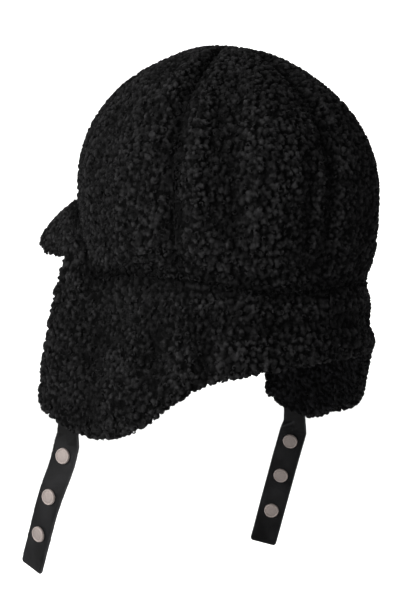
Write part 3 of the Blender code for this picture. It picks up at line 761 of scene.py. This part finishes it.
def curl_shape(graph, radius, thickness):
    """One short fat curl: a tapered arc of yarn."""
    arc = graph.add(
        "GeometryNodeCurveArc", {"mode": "RADIUS"},
        {"Resolution": CURL_STEPS, "Radius": radius, "Start Angle": CURL_START, "Sweep Angle": CURL_SWEEP})
    along = graph.add("GeometryNodeSplineParameter", output="Factor")
    taper = (1.0 - (along * 2.0 - 1.0) ** 4.0) * 0.6 + 0.4
    arc = graph.add("GeometryNodeSetCurveRadius", inputs={"Curve": arc, "Radius": taper})
    ring = graph.add(
        "GeometryNodeCurvePrimitiveCircle", {"mode": "RADIUS"},
        {"Resolution": CURL_SIDES, "Radius": thickness * CURL_GIRTH})
    return graph.add(
        "GeometryNodeCurveToMesh", inputs={"Curve": arc, "Profile Curve": ring, "Fill Caps": True})


def pile_tree():
    """Nodes that raise nubs on a piece's face and scatter loose curls over them."""
    tree = bpy.data.node_groups.new("curly pile", "GeometryNodeTree")
    tree.interface.new_socket("Piece", in_out="INPUT", socket_type="NodeSocketGeometry")
    for name, kind in PILE_INPUTS:
        tree.interface.new_socket(name, in_out="INPUT", socket_type=kind)
    tree.interface.new_socket("Piece", in_out="OUTPUT", socket_type="NodeSocketGeometry")
    graph = Graph(tree)
    piece = graph.add("NodeGroupInput")
    spacing, height = piece.pick("Nub Spacing"), piece.pick("Nub Height")
    pile = graph.add("GeometryNodeInputNamedAttribute", {"data_type": "FLOAT"}, {"Name": "pile"})
    place = graph.add("GeometryNodeInputPosition")
    normal = graph.add("GeometryNodeInputNormal")

    noise = graph.add(
        "ShaderNodeTexNoise",
        inputs={"Vector": place, "Scale": WANDER_SCALE, "Detail": 1.0}, output="Color")
    wander = graph.vector("SUBTRACT", noise, (0.5, 0.5, 0.5))
    wander = graph.add(
        "ShaderNodeVectorMath", {"operation": "SCALE"},
        {0: wander, "Scale": piece.pick("Nub Wander") * 2.0})
    cell = graph.add(
        "ShaderNodeTexVoronoi", {"feature": "F1"},
        {"Vector": graph.vector("ADD", place, wander), "Scale": 1.0 / spacing, "Randomness": NUB_SHUFFLE},
        output="Distance")
    size = graph.add("FunctionNodeSeparateColor", inputs={"Color": cell.pick("Color")}, output="Red")
    reach = cell / (size * NUB_REACH_SPAN + NUB_REACH)
    dome = (1.0 - reach * reach).at_least(0.0) ** 0.5
    crumb = graph.add("ShaderNodeTexNoise", inputs={"Vector": place, "Scale": CRUMB_SCALE, "Detail": 1.0})
    nub = dome + (crumb - 0.5) * CRUMB_HEIGHT
    lift = (piece.pick("Nub Proud") + (nub - 1.0) * height) * pile
    offset = graph.add("ShaderNodeVectorMath", {"operation": "SCALE"}, {0: normal, "Scale": lift})
    raised = graph.add("GeometryNodeSetPosition", inputs={"Geometry": piece, "Offset": offset})
    # The nub height is also stored to paint shade between the nubs in the fleece's colour.
    for name, value in (("nub", 1.0 - (1.0 - nub) * pile), ("tone", size)):
        raised = graph.add(
            "GeometryNodeStoreNamedAttribute", {"data_type": "FLOAT", "domain": "POINT"},
            {"Geometry": raised, "Name": name, "Value": value})

    seam = graph.add("GeometryNodeInputNamedAttribute", {"data_type": "FLOAT"}, {"Name": "seam"})
    curl_spacing = piece.pick("Curl Spacing")
    full = ((pile - 0.4) * 2.0).clamp()
    loose = scatter_curls(graph, piece, curl_spacing, piece.pick("Seed") + 11.0, full, LOOSE_SIZES)
    sewn = scatter_curls(graph, piece, curl_spacing * 0.5, piece.pick("Seed") + 17.0, seam, SEAM_SIZES)
    curls = graph.add("GeometryNodeJoinGeometry", inputs={"Geometry": [loose, sewn]})
    tone = graph.add(
        "FunctionNodeRandomValue", {"data_type": "FLOAT"}, {2: 0.2, 3: 1.0, "Seed": 13}, output=1)
    # Loose curls get a set share of that painted shade, close to the nub tips'.
    for name, value in (("nub", 0.8), ("tone", tone)):
        curls = graph.add(
            "GeometryNodeStoreNamedAttribute", {"data_type": "FLOAT", "domain": "INSTANCE"},
            {"Geometry": curls, "Name": name, "Value": value})
    curls = graph.add("GeometryNodeRealizeInstances", inputs={"Geometry": curls})
    curls = graph.add("GeometryNodeSetShadeSmooth", inputs={"Geometry": curls})
    joined = graph.add("GeometryNodeJoinGeometry", inputs={"Geometry": [raised, curls]})
    whole = graph.add("GeometryNodeRealizeInstances", inputs={"Geometry": joined})
    whole = graph.add(
        "GeometryNodeSetMaterial", inputs={"Geometry": whole, "Material": piece.pick("Fleece")})
    graph.add("NodeGroupOutput", inputs={"Piece": whole})
    return tree


def set_inputs(modifier, values):
    """Set a node modifier's inputs by their names."""
    for item in modifier.node_group.interface.items_tree:
        if item.item_type == "SOCKET" and item.in_out == "INPUT" and item.name in values:
            modifier[item.identifier] = values[item.name]


def shared(kind, name, make):
    """A material or node tree by its name, made on first use."""
    return kind.get(name) or make()


def wave_crease(places, facing):
    """Let the crease between crown and skirt wander up and down, and fill its sharp bottom."""
    turn = np.degrees(np.arctan2(places[:, 0], -places[:, 1])) % 360.0
    angles, rises = np.array(CREASE_WAVE)[:-1].T
    knots = np.concatenate([angles + full_turn for full_turn in (-360.0, 0.0, 360.0)])
    rises = np.tile(rises, 3)
    rise = sum(np.interp(turn + shift, knots, rises) for shift in (0.0, -CREASE_EVEN, CREASE_EVEN)) / 3.0
    off = places[:, 2] - CREASE_LEVEL
    places[:, 2] += rise * (1.0 - ease(np.abs(off), 0.0, CREASE_REACH))
    spoke = places * (1.0, 1.0, 0.0)
    spoke /= np.maximum(np.linalg.norm(spoke, axis=1), 1e-6)[:, None]
    fill = CREASE_FILL * np.exp(-(off / CREASE_FILL_REACH) ** 2) * ease(facing, 0.0, OUTER_FACING)
    return places + spoke * fill[:, None]


def lift_corners(places):
    """Raise the flaps' upper front corners, where they meet the ends of the peak."""
    turn = np.degrees(np.arctan2(np.abs(places[:, 0]), -places[:, 1]))
    share = (1.0 - ease(turn, *CORNER_TURN)) * (1.0 - ease(CORNER_LEVEL - places[:, 2], 0.0, CORNER_REACH))
    places[:, 2] += CORNER_LIFT * share
    return places


def fleece_piece(node, slot, number):
    """Dress one fleece node with pile and stand it in for the node."""
    settings = bpy.context.scene.hat_fleece
    name = slot + "_pile"
    # The lining takes the darker tip colour that paints the shade on the flaps' inner side.
    tip_colour = settings.lining_shade_colour if node in LINING_NODES else settings.tip_colour
    material = shared(bpy.data.materials, name, lambda: fleece_material(name, settings, tip_colour))
    voxel = settings.inner_voxel if node in LINING_NODES else settings.voxel
    item = even_mesh("pile_" + node, node, voxel, FLEECE_ROUNDS, material)
    share, covered, facing = pile_share(node, item.data, settings)
    store(item.data, "pile", share)
    places, normals = read_points(item.data)
    sewn = spread(item.data, covered.astype(float), SPREAD_ROUNDS)
    store(item.data, "seam", np.where(covered, 0.0, ease(sewn, *SEWN_SPAN)))
    # Painted shade: the depth under the evened form is stored to darken the fleece in the hat's valleys and
    # lighten it on the ridges.
    depth = spread(item.data, hollow_depth(places, normals), SPREAD_ROUNDS)
    store(item.data, "hollow", ease(depth, *HOLLOW_SPAN))
    places += normals * (sewn * settings.seam_press)[:, None]
    if node != "peak":
        places = wave_crease(places, facing)
    if node in SHELL_NODES + LINING_NODES:
        places = lift_corners(places)
    item.data.vertices.foreach_set("co", places.ravel())
    item.data.update()
    hidden = covered | (facing < INNER_FACING) if node in CROWN_NODES else covered
    thin_out(item, hidden, settings.hidden_share)
    modifier = item.modifiers.new("pile", "NODES")
    modifier.node_group = shared(bpy.data.node_groups, "curly pile", pile_tree)
    set_inputs(modifier, {
        "Nub Spacing": settings.nub_spacing, "Nub Height": settings.nub_height,
        "Nub Proud": settings.nub_proud, "Nub Wander": settings.wander,
        "Curl Spacing": settings.curl_spacing, "Curl Radius": settings.curl_radius,
        "Curl Thickness": settings.curl_thickness, "Seed": settings.seed + number,
        "Fleece": material,
    })
    settle(item)
    item.data.shade_smooth()
    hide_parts(node)
    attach(item, BODY)
    return item


def snap_axis(node):
    """Middle of a snap's cap edge, the way its cap looks, and the cap's radius."""
    places = read_points(merged_copy(node))[0]
    middle = places.mean(axis=0)
    spans, axes = np.linalg.svd(places - middle, full_matrices=False)[1:]
    axis = axes[0] if spans[0] - spans[1] > spans[1] - spans[2] else axes[2]
    heights = (places - middle) @ axis
    spokes = places - middle - np.outer(heights, axis)
    radii = np.linalg.norm(spokes, axis=1)
    rim = radii > CAP_EDGE * radii.max()
    if heights[rim].mean() < np.median(heights):
        axis = -axis
        heights = -heights
    return middle + axis * heights[rim].mean(), axis, radii.max(), heights.min() - heights[rim].mean()


def turn_profile(name, centre, axis, profile, sides, material):
    """Turn a profile of radius and height round an axis into a closed body."""
    axis = Vector(axis).normalized()
    across = axis.orthogonal().normalized()
    along = axis.cross(across)
    work = bmesh.new()
    rings = []
    for radius, height in profile:
        base = Vector(centre) + axis * height
        if radius == 0.0:
            rings.append([work.verts.new(base)])
            continue
        rings.append([
            work.verts.new(base + (across * math.cos(turn) + along * math.sin(turn)) * radius)
            for turn in (2.0 * math.pi * step / sides for step in range(sides))
        ])
    for upper, lower in zip(rings, rings[1:]):
        for step in range(sides):
            following = (step + 1) % sides
            corners = [upper[step % len(upper)], upper[following % len(upper)],
                       lower[following % len(lower)], lower[step % len(lower)]]
            work.faces.new(list(dict.fromkeys(corners)))
    bmesh.ops.recalc_face_normals(work, faces=work.faces)
    if work.calc_volume(signed=True) < 0.0:
        bmesh.ops.reverse_faces(work, faces=work.faces)
    mesh = bpy.data.meshes.new(name)
    work.to_mesh(mesh)
    work.free()
    mesh.shade_smooth()
    mesh.set_sharp_from_angle(angle=SHARP_ANGLE)
    item = link_object(name, mesh, material)
    spokes = read_points(mesh)[0] - np.array(centre)
    spokes -= np.outer(spokes @ np.array(axis), np.array(axis))
    store(mesh, "ring", np.linalg.norm(spokes, axis=1))
    return item


# Cap profile as shares of its radius and of its rise: a low dome inside a rolled rim.
CAP_SHAPE = (
    (0.00, 0.80), (0.12, 0.80), (0.25, 0.79), (0.40, 0.77), (0.54, 0.74), (0.65, 0.70), (0.71, 0.67),
    (0.74, 0.645), (0.77, 0.66), (0.80, 0.74), (0.84, 0.80), (0.88, 0.81), (0.92, 0.76), (0.96, 0.63),
    (0.985, 0.46), (1.00, 0.27), (1.00, 0.12), (0.985, 0.00), (0.90, 0.00),
)


def snap_profile(radius, depth, has_socket):
    """Profile of a whole snap, from the cap's middle over its rim and down the post."""
    profile = [(radius * share, CAP_RISE * level) for share, level in CAP_SHAPE]
    post = radius * POST_SHARE
    base = radius * BASE_SHARE
    plate = PLATE_LEVEL
    profile += [
        (post, 0.0), (post, plate), (base * 0.93, plate), (base, plate - 0.0003),
        (base, plate - 0.0007), (base * 0.93, plate - 0.0011),
    ]
    if has_socket:
        profile += [
            (base * 0.80, plate - 0.0012), (base * 0.72, plate - 0.0010),
            (base * 0.64, plate - 0.0018), (base * 0.57, depth), (base * 0.50, depth),
            (base * 0.46, depth + 0.0003), (base * 0.44, depth + 0.0016), (0.0, depth + 0.0016),
        ]
    else:
        stud = radius * STUD_SHARE
        profile += [
            (base * 0.70, plate - 0.0012), (stud * 1.15, plate - 0.0011),
            (stud * 0.86, plate - 0.0014), (stud * 0.86, plate - 0.0018),
            (stud, depth + 0.0008), (stud * 0.98, depth + 0.0004),
            (stud * 0.80, depth + 0.0001), (stud * 0.45, depth), (0.0, depth),
        ]
    return profile


def snap_piece(side, number):
    """Stand a finely turned snap in for its node."""
    settings = bpy.context.scene.hat_snaps
    material = shared(bpy.data.materials, "snap_nickel", lambda: nickel_material(settings))
    node = "snap_{}_{}".format(side, number)
    centre, axis, radius, depth = snap_axis(node)
    profile = snap_profile(radius, depth, side == "left")
    item = turn_profile("turned_" + node, centre, axis, profile, settings.sides, material)
    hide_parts(node)
    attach(item, BODY)


def long_edges(node, side):
    """Points along a strap's outer edges, away from its snaps."""
    work = bmesh.new()
    work.from_mesh(merged_copy(node))
    snaps = [Vector(snap_axis("snap_{}_{}".format(side, number + 1))[0]) for number in range(SNAP_COUNT)]
    points = []
    for edge in work.edges:
        if len(edge.link_faces) != 2 or edge.calc_face_angle(0.0) < EDGE_ANGLE:
            continue
        start, end = (vertex.co for vertex in edge.verts)
        if min(((start + end) / 2.0 - snap).length for snap in snaps) < SNAP_CLEAR:
            continue
        steps = max(int(edge.calc_length() / EDGE_STEP), 1)
        points += [start.lerp(end, step / steps) for step in range(steps + 1)]
    work.free()
    return points


def strap_piece(side):
    """Dress a leather strap: rounded edges and a pressed line along them."""
    settings = bpy.context.scene.hat_leather
    material = shared(bpy.data.materials, "strap_leather", lambda: leather_material(settings))
    node = "strap_" + side
    points = long_edges(node, side)
    tree = KDTree(len(points))
    for index, point in enumerate(points):
        tree.insert(point, index)
    tree.balance()
    item = even_mesh("leather_" + node, node, settings.voxel, LEATHER_ROUNDS, material)
    places, normals = read_points(item.data)
    rim = np.array([tree.find(place)[2] for place in places])
    crease = np.exp(-((rim - settings.crease_inset) / PRESS_WIDTH) ** 2)
    swell = ease(rim, 0.0, ROUND_REACH) - 1.0
    places += normals * (swell * ROUND_SINK - crease * settings.crease_depth)[:, None]
    item.data.vertices.foreach_set("co", places.ravel())
    item.data.update()
    store(item.data, "edge", 1.0 - ease(rim, *PALE_EDGE_SPAN))
    item.data.shade_smooth()
    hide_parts(node)
    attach(item, BODY)
    return item


class HAT_OT_crown(Operator):
    """Dress the six crown panels with curly fleece."""

    bl_idname = "hat.crown"
    bl_label = "Crown"

    def execute(self, context):
        for number, node in enumerate(CROWN_NODES):
            fleece_piece(node, "fleece", number)
        return {"FINISHED"}


class HAT_OT_peak(Operator):
    """Dress the peak with curly fleece."""

    bl_idname = "hat.peak"
    bl_label = "Peak"

    def execute(self, context):
        fleece_piece("peak", "fleece", len(CROWN_NODES))
        return {"FINISHED"}


class HAT_OT_flaps(Operator):
    """Dress the outer and inner layers of the ear flaps and nape."""

    bl_idname = "hat.flaps"
    bl_label = "Flaps"

    def execute(self, context):
        for number, node in enumerate(SHELL_NODES):
            fleece_piece(node, "fleece", SHELL_SEED + number)
        for number, node in enumerate(LINING_NODES):
            fleece_piece(node, "fleece_lining", LINING_SEED + number)
        return {"FINISHED"}


class HAT_OT_straps(Operator):
    """Dress the two leather straps."""

    bl_idname = "hat.straps"
    bl_label = "Straps"

    def execute(self, context):
        for side in ("left", "right"):
            strap_piece(side)
        return {"FINISHED"}


class HAT_OT_snaps(Operator):
    """Turn the six snap fasteners."""

    bl_idname = "hat.snaps"
    bl_label = "Snaps"

    def execute(self, context):
        for side in ("left", "right"):
            for number in range(SNAP_COUNT):
                snap_piece(side, number + 1)
        return {"FINISHED"}


def soft_light(name, power, width, place, target):
    """A square soft light that looks at a point."""
    data = bpy.data.lights.new(name, "AREA")
    data.energy = power
    data.size = width
    item = bpy.data.objects.new(name, data)
    item.location = place
    item.rotation_euler = (target - place).to_track_quat("-Z", "Y").to_euler()
    item.visible_camera = False
    bpy.context.scene.collection.objects.link(item)


def build_floor(settings, level):
    """A round floor whose edge rises in a curve."""
    radius = settings.floor_radius
    rise = radius * FLOOR_RISE
    profile = [(0.0, level), (radius * FLOOR_FLAT, level), (radius - rise, level)]
    for step in range(1, FLOOR_STEPS + 1):
        turn = math.pi / 2.0 * step / FLOOR_STEPS
        profile.append((radius - rise + rise * math.sin(turn), level + rise * (1.0 - math.cos(turn))))
    profile.append((radius, level + radius * FLOOR_WALL))
    work = bmesh.new()
    rings = []
    for distance, height in profile:
        count = 1 if distance == 0.0 else FLOOR_SIDES
        turns = [2.0 * math.pi * step / FLOOR_SIDES for step in range(count)]
        rings.append([
            work.verts.new((distance * math.cos(turn), distance * math.sin(turn), height)) for turn in turns
        ])
    for inner, outer in zip(rings, rings[1:]):
        for step in range(FLOOR_SIDES):
            following = (step + 1) % FLOOR_SIDES
            corners = [inner[step % len(inner)], outer[step],
                       outer[following], inner[following % len(inner)]]
            work.faces.new(list(dict.fromkeys(corners)))
    mesh = bpy.data.meshes.new("pale_floor")
    work.to_mesh(mesh)
    work.free()
    mesh.shade_smooth()
    return link_object("pale_floor", mesh, stage_material(settings))


class HAT_OT_stage(Operator):
    """Set up the camera, the floor and the soft lights."""

    bl_idname = "hat.stage"
    bl_label = "Stage"

    def execute(self, context):
        scene = context.scene
        settings = scene.hat_stage
        rise, turn = settings.elevation, settings.azimuth
        centre = Vector((0.0, 0.0, settings.height))
        way = Vector((math.sin(turn) * math.cos(rise), -math.cos(turn) * math.cos(rise), math.sin(rise)))
        right = Vector((math.cos(turn), math.sin(turn), 0.0))
        up = Vector((0.0, 0.0, 1.0))
        data = bpy.data.cameras.new("camera")
        camera = bpy.data.objects.new("camera", data)
        scene.collection.objects.link(camera)
        camera.location = centre + way * settings.distance
        camera.rotation_euler = (-way).to_track_quat("-Z", "Y").to_euler()
        data.sensor_fit = "HORIZONTAL"
        data.sensor_width = 36.0
        data.lens = PHOTO_SCALE * settings.distance * data.sensor_width / PHOTO_WIDTH
        data.shift_x = settings.shift
        data.clip_start = 0.01
        scene.camera = camera

        build_floor(settings, CAD_BOX[0][2] - settings.floor_drop)
        for name, (width, aside, near, above) in LIGHTS.items():
            place = centre + right * aside + way * near + up * above
            soft_light(name, getattr(settings, name + "_power"), width, place, LIGHT_TARGET)
        world = bpy.data.worlds.new("studio")
        world.use_nodes = True
        sky = world.node_tree.nodes["Background"]
        sky.inputs["Color"].default_value = (1.0, 1.0, 1.0, 1.0)
        sky.inputs["Strength"].default_value = settings.sky_strength
        scene.world = world
        scene.view_settings.view_transform = "Standard"
        return {"FINISHED"}


class HAT_PT_panel(Panel):
    """The hat's pieces in the 3D view's sidebar."""

    bl_label = "Fleece Trapper Hat"
    bl_idname = "HAT_PT_panel"
    bl_space_type = "VIEW_3D"
    bl_region_type = "UI"
    bl_category = "Hat"

    def draw(self, context):
        for name in SETTINGS:
            box = self.layout.box()
            group = getattr(context.scene, name)
            for key in group.__annotations__:
                box.prop(group, key)
        for operator in OPERATORS:
            self.layout.operator(operator.bl_idname)


SETTINGS = {
    "hat_fleece": FleeceSettings,
    "hat_leather": LeatherSettings,
    "hat_snaps": SnapSettings,
    "hat_stage": StageSettings,
}
OPERATORS = (HAT_OT_stage, HAT_OT_straps, HAT_OT_snaps, HAT_OT_crown, HAT_OT_peak, HAT_OT_flaps)


def register():
    """Register the settings, the operators and the panel."""
    for item in (*SETTINGS.values(), *OPERATORS, HAT_PT_panel):
        bpy.utils.register_class(item)
    for name, group in SETTINGS.items():
        setattr(bpy.types.Scene, name, PointerProperty(type=group))


def unregister():
    """Take the settings, the operators and the panel away again."""
    for name in SETTINGS:
        delattr(bpy.types.Scene, name)
    for item in reversed((*SETTINGS.values(), *OPERATORS, HAT_PT_panel)):
        bpy.utils.unregister_class(item)


def main():
    """Make every piece."""
    register()
    for operator in OPERATORS:
        group, name = operator.bl_idname.split(".")
        getattr(getattr(bpy.ops, group), name)()


if __name__ == "__main__":
    main()
